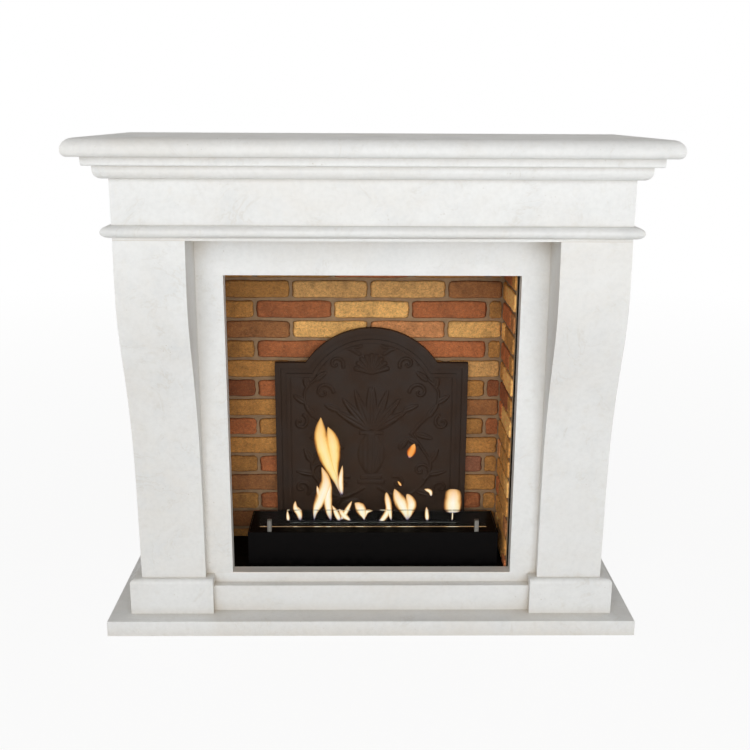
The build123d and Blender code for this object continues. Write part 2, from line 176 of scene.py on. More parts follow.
def make_clouds_and_shade_group():
    """Soft clouds, hairline veins and pits, the marks of a honed limestone, and painted shade, warm and dark,
    in creases from an occlusion mask.
    """
    group, start, end = new_group(
        "stone_clouds_and_shade",
        [("Vector", "NodeSocketVector", None), ("Light", "NodeSocketColor", (0.8, 0.8, 0.8, 1)),
         ("Warm", "NodeSocketColor", (0.7, 0.7, 0.6, 1)), ("Cool", "NodeSocketColor", (0.7, 0.7, 0.7, 1)),
         ("Pit Scale", "NodeSocketFloat", 120.0)],
        [("Color", "NodeSocketColor"), ("Height", "NodeSocketFloat"), ("Roughness", "NodeSocketColor")])
    vector = start.outputs["Vector"]
    broad = noise(group, vector, 3.2, 5.0, 0.6, 0.6)
    patches = noise(group, vector, 11.0, 6.0, 0.65, 0.4)
    fine = noise(group, vector, 95.0, 4.0, 0.6)
    warm = ramp(group, broad, [(0.46, 0.0), (0.70, 0.9)])
    cool = ramp(group, patches, [(0.50, 0.0), (0.72, 0.8)])
    colour = mix_colour(group, warm, start.outputs["Light"], start.outputs["Warm"])
    colour = mix_colour(group, cool, colour, start.outputs["Cool"])
    veins = ramp(group, noise(group, vector, 5.5, 8.0, 0.62, 1.6), [(0.485, 0.0), (0.5, 0.32), (0.515, 0.0)])
    gate = ramp(group, patches, [(0.5, 0.0), (0.62, 1.0)])
    colour = mix_colour(group, maths(group, "MULTIPLY", veins, gate), colour, (0.60, 0.55, 0.47))
    blotches = ramp(group, noise(group, vector, 38.0, 5.0, 0.7), [(0.56, 0.0), (0.74, 0.30)])
    colour = mix_colour(group, blotches, colour, (0.70, 0.67, 0.61))
    cells = group.nodes.new("ShaderNodeTexVoronoi")
    group.links.new(vector, cells.inputs["Vector"])
    group.links.new(start.outputs["Pit Scale"], cells.inputs["Scale"])
    pits = ramp(group, cells.outputs["Distance"], [(0.06, 1.0), (0.16, 0.0)])
    rare = ramp(group, noise(group, vector, 26.0, 3.0), [(0.60, 0.0), (0.70, 1.0)])
    pits = maths(group, "MULTIPLY", pits, rare)
    colour = mix_colour(group, pits, colour, (0.45, 0.40, 0.33))
    speck = ramp(group, fine, [(0.32, 0.955), (0.60, 1.0)])
    colour = mix_colour(group, 1.0, colour, speck, "MULTIPLY")
    # Painted shade: an occlusion mask darkens and warms the stone in creases, under mouldings and at returns.
    crease_shade = group.nodes.new("ShaderNodeAmbientOcclusion")
    crease_shade.samples = 6
    crease_shade.inputs["Distance"].default_value = 0.070
    tint = ramp(group, crease_shade.outputs["AO"], [(0.12, (0.66, 0.575, 0.47)), (0.68, (1.0, 1.0, 1.0))])
    colour = mix_colour(group, 1.0, colour, tint, "MULTIPLY")
    group.links.new(colour, end.inputs["Color"])
    height = maths(group, "SUBTRACT", maths(group, "MULTIPLY", fine, 0.35), pits)
    group.links.new(height, end.inputs["Height"])
    group.links.new(ramp(group, patches, [(0.3, 0.40), (0.7, 0.60)]), end.inputs["Roughness"])
    return group


def make_grain_group():
    """Fine and coarse grain for cast, painted and fired surfaces."""
    group, start, end = new_group(
        "surface_grain",
        [("Vector", "NodeSocketVector", None), ("Scale", "NodeSocketFloat", 60.0),
         ("Coarse", "NodeSocketFloat", 0.5)],
        [("Mask", "NodeSocketFloat"), ("Height", "NodeSocketFloat")])
    fine = group.nodes.new("ShaderNodeTexNoise")
    fine.inputs["Detail"].default_value = 6.0
    fine.inputs["Roughness"].default_value = 0.65
    broad = group.nodes.new("ShaderNodeTexNoise")
    broad.inputs["Detail"].default_value = 3.0
    for node in (fine, broad):
        group.links.new(start.outputs["Vector"], node.inputs["Vector"])
    group.links.new(start.outputs["Scale"], fine.inputs["Scale"])
    group.links.new(maths(group, "MULTIPLY", start.outputs["Scale"], 0.18), broad.inputs["Scale"])
    group.links.new(broad.outputs["Fac"], end.inputs["Mask"])
    coarse = maths(group, "MULTIPLY", broad.outputs["Fac"], start.outputs["Coarse"])
    group.links.new(maths(group, "ADD", fine.outputs["Fac"], coarse), end.inputs["Height"])
    return group


# Shader groups that several finishes share, each made when it is first needed.
GROUP_MAKERS = {"stone_clouds_and_shade": make_clouds_and_shade_group, "surface_grain": make_grain_group}
GROUPS = {}


def group_node(tree, name):
    """Place a shared shader group, building it on first use."""
    if name not in GROUPS:
        GROUPS[name] = GROUP_MAKERS[name]()
    node = tree.nodes.new("ShaderNodeGroup")
    node.node_tree = GROUPS[name]
    return node


def new_material(name, roughness=0.5, metallic=0.0):
    """Material with a Principled shader; returns (material, tree, shader, object coordinates)."""
    material = bpy.data.materials.new(name)
    material.use_nodes = True
    tree = material.node_tree
    shader = tree.nodes["Principled BSDF"]
    shader.inputs["Roughness"].default_value = roughness
    shader.inputs["Metallic"].default_value = metallic
    coordinates = tree.nodes.new("ShaderNodeTexCoord")
    return material, tree, shader, coordinates.outputs["Object"]


def moved(tree, vector, offset=(0, 0, 0), scale=(1, 1, 1)):
    """Shift and stretch a pattern on its piece."""
    node = tree.nodes.new("ShaderNodeMapping")
    node.inputs["Location"].default_value = offset
    node.inputs["Scale"].default_value = scale
    tree.links.new(vector, node.inputs["Vector"])
    return node.outputs["Vector"]


def bump(tree, shader, height, distance, strength=1.0):
    """Raise a height socket into the shader's normal."""
    node = tree.nodes.new("ShaderNodeBump")
    node.inputs["Distance"].default_value = distance
    node.inputs["Strength"].default_value = strength
    tree.links.new(height, node.inputs["Height"])
    tree.links.new(node.outputs["Normal"], shader.inputs["Normal"])


PIT_SHARE = 0.26


def limestone(name, offset):
    """Honed limestone with painted shade in its creases; the offset gives each block its own clouds."""
    stone = bpy.context.scene.fireplace_stone
    material, tree, shader, vector = new_material(name)
    clouds = group_node(tree, "stone_clouds_and_shade")
    tree.links.new(moved(tree, vector, offset), clouds.inputs["Vector"])
    clouds.inputs["Light"].default_value = (*stone.light, 1)
    clouds.inputs["Warm"].default_value = (*stone.warm, 1)
    clouds.inputs["Cool"].default_value = (*stone.cool, 1)
    clouds.inputs["Pit Scale"].default_value = PIT_SHARE / stone.pit_size
    tree.links.new(clouds.outputs["Color"], shader.inputs["Base Color"])
    tree.links.new(clouds.outputs["Roughness"], shader.inputs["Roughness"])
    bump(tree, shader, clouds.outputs["Height"], 0.0006, 0.7)
    return material


ROUGHNESS_SPREAD = 0.12
SMOOTHEST = 0.05


def grained(name, dark, pale, roughness, metallic=0.0, scale=60.0, coarse=0.5, depth=0.0005,
            stretch=(1, 1, 1), gloss=0.5):
    """Two-tone surface with grain: paint, iron, steel, wool or mortar by its values."""
    material, tree, shader, vector = new_material(name, roughness, metallic)
    shader.inputs["Specular IOR Level"].default_value = gloss
    grain = group_node(tree, "surface_grain")
    tree.links.new(moved(tree, vector, scale=stretch), grain.inputs["Vector"])
    grain.inputs["Scale"].default_value = scale
    grain.inputs["Coarse"].default_value = coarse
    mask = grain.outputs["Mask"]
    tree.links.new(ramp(tree, mask, [(0.35, dark), (0.65, pale)]), shader.inputs["Base Color"])
    polished = max(roughness - ROUGHNESS_SPREAD, SMOOTHEST)
    dull = roughness + ROUGHNESS_SPREAD
    tree.links.new(ramp(tree, mask, [(0.3, polished), (0.7, dull)]), shader.inputs["Roughness"])
    bump(tree, shader, grain.outputs["Height"], depth)
    return material


def glass(name, edge_height):
    """Clear toughened glass whose lower edge, below the given height, has a painted glow that stands for the
    flames' light.
    """
    material, tree, shader, vector = new_material(name, 0.0)
    shader.inputs["Base Color"].default_value = (0.95, 0.98, 0.96, 1)
    shader.inputs["Transmission Weight"].default_value = 1.0
    shader.inputs["IOR"].default_value = 1.12
    split = tree.nodes.new("ShaderNodeSeparateXYZ")
    tree.links.new(vector, split.inputs[0])
    edge = maths(tree, "LESS_THAN", split.outputs["Z"], edge_height)
    # Painted glow: the pane's lower edge gives off warm light of its own.
    shader.inputs["Emission Color"].default_value = (0.62, 0.40, 0.20, 1)
    tree.links.new(maths(tree, "MULTIPLY", edge, 0.22), shader.inputs["Emission Strength"])
    return material


def fired_brick(name):
    """Hand-moulded brick: the tone attribute picks its colour, noise sands and scorches it."""
    material, tree, shader, vector = new_material(name, 0.85)
    tone = tree.nodes.new("ShaderNodeAttribute")
    tone.attribute_name = "tone"
    grain = group_node(tree, "surface_grain")
    tree.links.new(vector, grain.inputs["Vector"])
    grain.inputs["Scale"].default_value = 170.0
    grain.inputs["Coarse"].default_value = 1.2
    body = tone.outputs["Color"]
    shade = ramp(tree, grain.outputs["Mask"], [(0.30, 0.74), (0.50, 1.0), (0.72, 1.12)])
    body = mix_colour(tree, 1.0, body, shade, "MULTIPLY")
    fine = ramp(tree, noise(tree, vector, 150.0, 5.0, 0.7), [(0.30, 0.68), (0.52, 1.0), (0.70, 1.18)])
    body = mix_colour(tree, 1.0, body, fine, "MULTIPLY")
    sand = ramp(tree, noise(tree, vector, 420.0, 3.0), [(0.55, 0.0), (0.72, 0.30)])
    body = mix_colour(tree, sand, body, (0.62, 0.40, 0.18))
    scorch = ramp(tree, noise(tree, vector, 55.0, 6.0, 0.75), [(0.52, 0.0), (0.78, 0.45)])
    body = mix_colour(tree, scorch, body, (0.20, 0.075, 0.03))
    cracks = ramp(tree, noise(tree, moved(tree, vector, scale=(1, 1, 2.2)), 60.0, 8.0, 0.7, 1.2),
                  [(0.48, 0.0), (0.50, 0.75), (0.52, 0.0)])
    body = mix_colour(tree, cracks, body, (0.10, 0.04, 0.02))
    tree.links.new(body, shader.inputs["Base Color"])
    bump(tree, shader, grain.outputs["Height"], 0.0034)
    return material


def fire(name):
    """Flame whose warmth attribute holds its height in red, its edge in green and its cooling in blue."""
    flame = bpy.context.scene.fireplace_flame
    material, tree, shader, vector = new_material(name, 1.0)
    warmth = tree.nodes.new("ShaderNodeAttribute")
    warmth.attribute_name = "warmth"
    split = tree.nodes.new("ShaderNodeSeparateColor")
    tree.links.new(warmth.outputs["Color"], split.inputs[0])
    rise, edge = split.outputs[0], split.outputs[1]
    wisps = noise(tree, moved(tree, vector, scale=(1.0, 1.0, 0.35)), 70.0, 2.0)
    edge = maths(tree, "ADD", edge, maths(tree, "MULTIPLY", maths(tree, "SUBTRACT", wisps, 0.5), 0.55))
    hot = ramp(tree, edge, [(0.0, (1.0, 0.95, 0.80)), (0.44, (1.0, 0.87, 0.56)), (0.68, (1.0, 0.58, 0.21)),
                            (0.90, (0.74, 0.24, 0.05))])
    root = ramp(tree, rise, [(0.0, 1.0), (0.14, 0.35), (0.26, 0.0)])
    tip = ramp(tree, rise, [(0.62, 0.0), (1.0, 0.8)])
    cooling = ramp(tree, split.outputs[2], [(0.0, 1.0), (0.35, (1.0, 0.88, 0.52)), (1.0, (0.95, 0.40, 0.11))])
    colour = mix_colour(tree, 1.0, hot, cooling, "MULTIPLY")
    colour = mix_colour(tree, tip, colour, (1.0, 0.50, 0.15))
    colour = mix_colour(tree, root, colour, (0.16, 0.13, 0.42))
    tree.links.new(colour, shader.inputs["Emission Color"])
    shader.inputs["Emission Strength"].default_value = flame.glow
    shader.inputs["Base Color"].default_value = (0, 0, 0, 1)
    shader.inputs["Specular IOR Level"].default_value = 0.0
    soft = ramp(tree, edge, [(0.45, 1.0), (0.95, 0.0)])
    body = ramp(tree, rise, [(0.0, 0.10), (0.18, 0.88), (0.80, 0.95), (1.0, 0.45)])
    tree.links.new(maths(tree, "MULTIPLY", soft, body), shader.inputs["Alpha"])
    return material


def add_piece(name, points, faces, material, body):
    """Put vertex and face arrays into a mesh piece that rides on a body."""
    mesh = bpy.data.meshes.new(name)
    mesh.from_pydata(np.asarray(points).tolist(), [], faces)
    mesh.polygons.foreach_set("use_smooth", [True] * len(mesh.polygons))
    mesh.update()
    piece = bpy.data.objects.new(name, mesh)
    bpy.context.scene.collection.objects.link(piece)
    mesh.materials.append(material)
    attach(piece, body)
    return piece


def dress(node, material):
    """Give a CAD node's object its material."""
    piece = frame["nodes"][node]
    piece.data.materials.clear()
    piece.data.materials.append(material)


def grid_faces(rows, columns, start=0, flip=False):
    """Quads of a grid whose vertices run row by row."""
    index = start + np.arange(rows * columns).reshape(rows, columns)
    quads = np.stack([index[:-1, :-1], index[:-1, 1:], index[1:, 1:], index[1:, :-1]], axis=-1).reshape(-1, 4)
    if flip:
        quads = quads[:, ::-1]
    return quads.tolist()


STONE_NODES = [n for n in frame["nodes"] if any(m["node"] == n and m["material_slot"] == "limestone"
                                                for m in frame["record"]["subparts"])]


class FIREPLACE_OT_stone(bpy.types.Operator):
    """Dress every limestone piece, each with its own run of the clouds"""

    bl_idname = "fireplace.stone"
    bl_label = "Limestone surround"

    def execute(self, context):
        for number, node in enumerate(sorted(STONE_NODES)):
            offset = (1.7 * number, 0.9 * number, -1.3 * number)
            dress(node, limestone("limestone_" + node, offset))
        return {"FINISHED"}


class FIREPLACE_OT_metal(bpy.types.Operator):
    """Dress the steel cassette, the threshold strip, the burner's metal and the glass"""

    bl_idname = "fireplace.metal"
    bl_label = "Steel, burner and glass"

    def execute(self, context):
        black = grained("matt_black_steel", (0.0012, 0.001, 0.001), (0.003, 0.0025, 0.002), 0.6, scale=300,
                        depth=0.0001, gloss=0.05)
        satin = grained("satin_black_coat", (0.0012, 0.0009, 0.0009), (0.0026, 0.002, 0.002), 0.55, scale=500,
                        depth=0.00006, gloss=0.05)
        dark_steel = grained("burnt_steel", (0.006, 0.005, 0.004), (0.012, 0.010, 0.009), 0.6, 0.0, 200,
                             gloss=0.15)
        strip = grained("brushed_strip", (0.82, 0.79, 0.74), (0.92, 0.89, 0.85), 0.45, 0.2, 260, 0.2, 0.00005,
                        (0.03, 1, 1))
        steel = grained("brushed_stainless", (0.50, 0.49, 0.47), (0.64, 0.63, 0.61), 0.32, 1.0, 400, 0.2,
                        0.00004, (1, 1, 0.05))
        post = grained("brushed_post", (0.11, 0.10, 0.09), (0.20, 0.19, 0.17), 0.38, 0.8, 300, 0.2, 0.00004,
                       (1, 1, 0.05))
        zinc = grained("zinc_plate", (0.45, 0.45, 0.43), (0.62, 0.62, 0.60), 0.45, 1.0, 90, 0.6, 0.00005)
        wool = grained("ceramic_wool", (0.62, 0.61, 0.58), (0.80, 0.79, 0.77), 0.95, scale=220, depth=0.001)
        iron = grained("dark_cast_iron", (0.0225, 0.0112, 0.0058), (0.030, 0.0152, 0.0082), 0.62, 0.0, 120,
                       0.8, 0.0005, gloss=0.22)
        clear = glass("clear_pane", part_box("glass_pane")[0][2] + 0.0007)
        finish = {
            "cassette_floor": black, "cassette_back": black, "cassette_ceiling": black,
            "cassette_legs": black, "left_cassette_side": black, "right_cassette_side": black,
            "threshold_strip": strip,
            "burner_housing": satin, "burner_top_plate": satin, "housing_ledges": steel, "fuel_tank": steel,
            "tank_cover": dark_steel, "tank_hangers": steel, "regulating_lid": dark_steel,
            "pane_posts": post, "post_screws": post, "absorbent_wool": wool, "glass_pane": clear,
            "fixing_angles": zinc, "angle_screws": zinc, "fireback": iron,
        }
        for node, material in finish.items():
            dress(node, material)
        return {"FINISHED"}


# Base colours of the fired bricks, by the letter that stands for each in the courses.
TONES = {
    "o": (0.50, 0.230, 0.055),
    "y": (0.82, 0.450, 0.140),
    "t": (0.72, 0.390, 0.130),
    "r": (0.43, 0.130, 0.040),
    "s": (0.60, 0.250, 0.090),
    "b": (0.33, 0.130, 0.040),
    "d": (0.27, 0.075, 0.022),
    "p": (0.33, 0.125, 0.065),
}
# Tones of each course from the bottom up, repeated along the row.
BACK_COURSES = [
    "orooo", "boro", "oryro", "boro", "oropo", "oryo", "royor", "oyrb",
    "drood", "oyot", "orrro", "bysy", "oryro", "ottb", "ooroo", "obro",
]
SIDE_COURSES = [
    "or", "yo", "ob", "ro", "oy", "so", "oo", "ry",
    "do", "oy", "ro", "yo", "rb", "oy", "ro", "bo",
]
# Height of the lowest joint and sideways shifts of the bond, in metres.
MOST_COURSES = 64
FIRST_JOINT = 0.1425
BACK_SHIFT = 0.007
SIDE_SHIFT = 0.062
# The right wall faces away from the soft boxes; its brick colours are raised as painted light, so it shows
# paler than they would light it.
RIGHT_WALL_PAINTED_LIGHT = 1.70


def brick_rectangles(low, high, floor, ceiling, first_joint, shifts, tones):
    """Running bond: (a0, a1, z0, z1, tone letter) of each brick between two limits along a wall."""
    brick = bpy.context.scene.fireplace_brick
    half = brick.joint / 2
    out = []
    for row in range(MOST_COURSES):
        base = first_joint + (row - 1) * brick.course
        if base >= ceiling:
            break
        z0 = max(base + half, floor)
        z1 = min(base + brick.course - half, ceiling)
        offset = shifts[row % 2]
        letters = tones[row % len(tones)]
        first = math.floor((low - offset) / brick.pitch)
        count = 0
        for k in range(first, first + math.ceil((high - low) / brick.pitch) + 2):
            a0 = max(offset + k * brick.pitch + half, low)
            a1 = min(offset + (k + 1) * brick.pitch - half, high)
            if a1 - a0 > brick.joint and z1 - z0 > half:
                out.append((a0, a1, z0, z1, letters[count % len(letters)]))
                count += 1
    return out


def pillow_bricks(name, rectangles, place, node, material, seed, flip=False, strength=1.05):
    """Bricks as pillowed grids over their rectangles.

    Each point (u, v) in [-1, 1] stands out by relief * (1 - |u|^n)(1 - |v|^n) plus three waves of its own,
    and the corners draw in where both u and v are large. A flat back closes each brick.
    """
    relief = bpy.context.scene.fireplace_brick.relief
    rng = np.random.default_rng(seed)
    columns, rows = 29, 13
    u, v = np.meshgrid(np.linspace(-1, 1, columns), np.linspace(-1, 1, rows))
    u = np.sign(u) * np.abs(u) ** 0.75
    v = np.sign(v) * np.abs(v) ** 0.75
    points, faces, colours = [], [], []
    row_index = np.arange(columns * rows).reshape(rows, columns)
    loop = np.r_[row_index[0, :-1], row_index[:-1, -1], row_index[-1, :0:-1], row_index[:0:-1, 0]]
    for a0, a1, z0, z1, letter in rectangles:
        wave = rng.uniform(0, 6.28, 6)
        half_a, half_z = (a1 - a0) / 2, (z1 - z0) / 2
        sharp = 0.003 / half_a, 0.003 / half_z
        a = half_a * u * (1 - 1.2 * sharp[0] * v ** 8) - 0.0008 * u * (1 + np.sin(5 * v + wave[0] * u))
        z = half_z * v * (1 - 0.7 * sharp[1] * u ** 14) - 0.0007 * v * (1 + np.sin(4 * u + wave[1] * v))
        round_a = 1 - np.abs(u) ** 60
        round_z = 1 - np.abs(v) ** 26
        lift = relief * np.sqrt(np.clip(round_a, 0, 1)) * np.sqrt(np.clip(round_z, 0, 1))
        rough = 0.0007 * np.sin(9 * u * half_a / half_z + wave[2]) * np.sin(7 * v + wave[3])
        rough = rough + 0.0005 * np.sin(23 * u * half_a / half_z + 11 * v + wave[4])
        inside = (np.abs(u) < 0.999) & (np.abs(v) < 0.999)
        lift = np.where(inside, np.minimum(lift * 0.86 + rough * lift / relief, relief), 0.0)
        start = len(points) * columns * rows
        along = (a0 + a1) / 2 + a
        up = (z0 + z1) / 2 + z
        points.append(place(along.ravel(), up.ravel(), lift.ravel()))
        faces += grid_faces(rows, columns, start, flip)
        back = (loop + start).tolist()
        faces.append(back if flip else back[::-1])
        # strength scales the brick colours; on the right wall it is painted light.
        tint = np.array(TONES[letter]) * rng.uniform(0.86, 1.12) * strength
        colours.append(np.repeat(np.r_[tint, 1.0][None], columns * rows, axis=0))
    piece = add_piece(name, np.concatenate(points), faces, material, "surround")
    layer = piece.data.color_attributes.new("tone", "FLOAT_COLOR", "POINT")
    layer.data.foreach_set("color", np.concatenate(colours).ravel())
    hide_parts(node)
    return piece


class FIREPLACE_OT_bricks(bpy.types.Operator):
    """Lay the hand-moulded bricks of the back and side walls on their mortar"""

    bl_idname = "fireplace.bricks"
    bl_label = "Brick lining"

    def execute(self, context):
        brick = context.scene.fireplace_brick
        material = fired_brick("hand_moulded_brick")
        mortar = grained("sandy_mortar", tuple(0.75 * c for c in brick.mortar), tuple(brick.mortar), 0.95,
                         scale=260, coarse=0.8, depth=0.0014)
        for node in ("back_mortar_panel", "left_mortar_panel", "right_mortar_panel"):
            dress(node, mortar)
        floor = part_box("back_bricks")[0][2]
        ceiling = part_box("back_bricks")[1][2]
        low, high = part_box("back_bricks")[0][0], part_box("back_bricks")[1][0]
        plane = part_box("back_bricks")[1][1]
        shifts = (brick.pitch / 2, brick.pitch - BACK_SHIFT)
        layout = brick_rectangles(low, high, floor, ceiling, FIRST_JOINT, shifts, BACK_COURSES)
        pillow_bricks("back_brick_faces", layout, lambda a, z, lift: np.c_[a, plane - lift, z],
                      "back_bricks", material, 11)
        shifts = (SIDE_SHIFT, SIDE_SHIFT + brick.pitch / 2)
        for node, inward, seed in (("left_bricks", 1, 12), ("right_bricks", -1, 13)):
            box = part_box(node)
            plane = box[0][0] if inward > 0 else box[1][0]
            near, far = WALL_Y - box[0][1], WALL_Y - box[1][1]
            layout = brick_rectangles(far, near, floor, ceiling, FIRST_JOINT, shifts, SIDE_COURSES)
            # Painted light: the right wall's brick colours are raised by this factor.
            strength = 1.0 if inward > 0 else RIGHT_WALL_PAINTED_LIGHT
            pillow_bricks(node[:-1] + "_faces", layout,
                          lambda a, z, lift, p=plane, s=inward: np.c_[p + s * lift, WALL_Y - a, z],
                          node, material, seed, flip=inward > 0, strength=strength)
        return {"FINISHED"}


def through(points, t):
    """Smooth curve through a few points: Catmull-Rom segments with the end points doubled."""
    points = np.asarray(points, dtype=float)
    padded = np.vstack([points[:1], points, points[-1:]])
    spans = len(points) - 1
    place = np.clip(t * spans, 0, spans - 1e-9)
    k = place.astype(int)
    f = (place - k)[:, None]
    a, b, c, d = padded[k], padded[k + 1], padded[k + 2], padded[k + 3]
    slope = c - a
    bend = 2 * a - 5 * b + 4 * c - d
    twist = 3 * b - a - 3 * c + d
    return 0.5 * (2 * b + slope * f + bend * f ** 2 + twist * f ** 3)


def stroke_height(x, z, curve, widths, height):
    """Raised stroke: a round-topped ridge that follows a curve and thins along it."""
    out = np.zeros_like(x)
    for (cx, cz), width in zip(curve, widths):
        d = ((x - cx) ** 2 + (z - cz) ** 2) / width ** 2
        out = np.maximum(out, height * np.sqrt(np.clip(1 - d, 0, 1)))
    return out


def scroll(cx, cz, size, turn, start, hand, count=70):
    """Spiral that opens from its eye: radius grows with the angle."""
    t = np.linspace(0.12, 1, count)
    angle = start + hand * turn * t
    return np.c_[cx + size * t ** 1.2 * np.cos(angle), cz + size * t ** 1.2 * np.sin(angle)], t


def leaf(x, z, foot, angle, length, width, height):
    """Pointed leaf with a groove down its middle rib."""
    along = ((x - foot[0]) * math.cos(angle) + (z - foot[1]) * math.sin(angle)) / length
    across = (z - foot[1]) * math.cos(angle) - (x - foot[0]) * math.sin(angle)
    half = width * np.sqrt(np.clip(along * (1 - along), 0, 1)) * np.clip(1.35 - 0.7 * along, 0, 2)
    inside = (along > 0) & (along < 1) & (np.abs(across) < half)
    body = np.sqrt(np.clip(1 - (across / np.maximum(half, 1e-5)) ** 2, 0, 1))
    groove = 0.45 * np.exp(-(across / (0.10 * width)) ** 2)
    return np.where(inside, height * np.clip(body - groove, 0, 1), 0)


def fireback_relief(x, z, middle):
    """Height of the ornament: an urn of leaves, mirrored vines with scrolls, and a shell under the arch."""
    s = np.abs(x)
    out = np.zeros_like(x)
    vines = (
        ((0.020, -0.165), (0.075, -0.190), (0.125, -0.160), (0.150, -0.105), (0.125, -0.055),
         (0.100, -0.020)),
        ((0.100, -0.020), (0.130, 0.015), (0.160, 0.045), (0.165, 0.090), (0.140, 0.120)),
        ((0.030, 0.185), (0.060, 0.200), (0.092, 0.190), (0.115, 0.160)),
    )
    for vine in vines:
        t = np.linspace(0, 1, 90)
        curve = through(vine, t) + (0, middle)
        out = np.maximum(out, stroke_height(s, z, curve, 0.0042 * (1.15 - 0.4 * t), 0.0026))
    # Eye x and z, size, turn, start angle and hand of each scroll.
    scrolls = (
        (0.125, -0.118, 0.026, 8.2, 0.8, -1),
        (0.176, -0.165, 0.022, 7.8, 2.4, 1),
        (0.118, 0.088, 0.024, 8.0, 1.4, 1),
        (0.178, 0.010, 0.021, 7.6, 3.4, -1),
        (0.088, 0.160, 0.020, 7.6, 2.2, 1),
        (0.040, 0.215, 0.016, 7.2, 4.6, -1),
        (0.066, -0.150, 0.018, 7.4, 1.0, 1),
    )
    for cx, cz, size, turn, start, hand in scrolls:
        curve, t = scroll(cx, middle + cz, size, turn, start, hand)
        out = np.maximum(out, stroke_height(s, z, curve, 0.0040 * (0.55 + 0.6 * t), 0.0030))
    # Foot x and z, angle and length of each leaf.
    leaves = ((0.075, -0.188, -0.9, 0.042), (0.112, -0.172, -0.3, 0.044), (0.146, -0.128, 0.2, 0.044),
              (0.150, -0.095, 1.1, 0.040), (0.118, -0.048, 2.6, 0.036), (0.112, -0.020, -0.3, 0.044),
              (0.140, 0.022, 1.0, 0.040), (0.164, 0.060, 0.6, 0.036), (0.160, 0.100, 1.5, 0.040),
              (0.140, 0.118, 2.5, 0.038), (0.062, 0.200, 1.0, 0.032), (0.110, 0.168, -0.4, 0.036),
              (0.070, -0.060, 0.9, 0.040), (0.080, 0.040, 0.4, 0.040), (0.030, -0.200, -0.2, 0.046))
    for cx, cz, angle, length in leaves:
        out = np.maximum(out, leaf(s, z, (cx, middle + cz), angle, length, 0.016, 0.0030))
    level = (z - (middle - 0.125)) / 0.105
    body = 0.034 * np.clip(np.sin(np.clip(level, 0, 1) * 2.6 + 0.30), 0, 1) ** 0.8
    bulge = np.sqrt(np.clip(1 - (s / np.maximum(body, 1e-4)) ** 2, 0, 1))
    bowl = np.where((level > 0) & (level < 1), bulge, 0)
    out = np.maximum(out, 0.0042 * bowl * (1 - 0.25 * np.cos(x * 260) ** 2))
    for height, half, thick in ((-0.135, 0.026, 0.006), (-0.148, 0.034, 0.005), (-0.018, 0.030, 0.004)):
        band = (np.abs(z - (middle + height)) < thick) & (s < half)
        out = np.maximum(out, np.where(band, 0.0030, 0))
    for angle in np.linspace(0.55, math.pi / 2, 4):
        reach_out = 0.085 + 0.030 * math.sin(angle)
        out = np.maximum(out, leaf(s, z, (0.004, middle - 0.012), angle, reach_out, 0.022, 0.0038))
    for angle in np.linspace(0.30, math.pi - 0.30, 9):
        t = np.linspace(0, 1, 22)
        curve = np.c_[0.040 * t * math.cos(angle), middle + 0.135 + 0.046 * t * math.sin(angle)]
        out = np.maximum(out, stroke_height(x, z, curve, 0.0020 + 0.0042 * t, 0.0034))
    return out


# Depth of the plate's sunk face, and the relief's stand-off and tucked edge, in metres.
RECESS = 0.006
RELIEF_LIFT = 0.0004
RIM_TUCK = 0.001
RIM_CELLS = 5


class FIREPLACE_OT_fireback(bpy.types.Operator):
    """Cast the relief of scrolls, leaves and an urn on the fireback's face"""

    bl_idname = "fireplace.fireback"
    bl_label = "Fireback relief"

    def execute(self, context):
        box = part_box("fireback")
        plane = box[0][1] + RECESS
        shoulder, top, arch = 0.589, 0.676, 0.1615
        margin = 0.0375
        rise = top - shoulder
        radius = (arch ** 2 + rise ** 2) / (2 * rise)
        columns, rows = 281, 341
        half = box[1][0] - margin
        x = np.linspace(-half, half, columns)
        bottom = box[0][2] + margin
        spring = math.sqrt((radius - margin) ** 2 - (shoulder - margin - top + radius) ** 2)
        arc = top - radius + np.sqrt(np.clip((radius - margin) ** 2 - x ** 2, 0, None))
        roof = np.where(np.abs(x) < spring, arc, shoulder - margin)
        t = np.linspace(0, 1, rows)[:, None]
        z = bottom + t * (roof - bottom)[None]
        x = np.repeat(x[None], rows, axis=0)
        height = fireback_relief(x, z, (bottom + top) / 2 + 0.01)
        across = np.arange(columns)[None]
        down = np.arange(rows)[:, None]
        rim = np.minimum(np.minimum(across, across[:, ::-1]), np.minimum(down, down[::-1]))
        height = height * np.clip(rim / RIM_CELLS, 0, 1) + RELIEF_LIFT
        height = np.where(rim < 1, -RIM_TUCK, height)
        points = np.c_[x.ravel(), (plane - height).ravel(), z.ravel()]
        faces = grid_faces(rows, columns)
        iron = bpy.data.materials["dark_cast_iron"]
        add_piece("fireback_relief", points, faces, iron, "surround")
        return {"FINISHED"}


# Height of the burner's slot and its distance from the wall, in metres.
SLOT_TOP = 0.2015
SLOT_REACH = 0.2065
FLAME_SPREAD = 0.46
FLAME_FLATNESS = 0.45
FLAME_THINNEST = 0.02


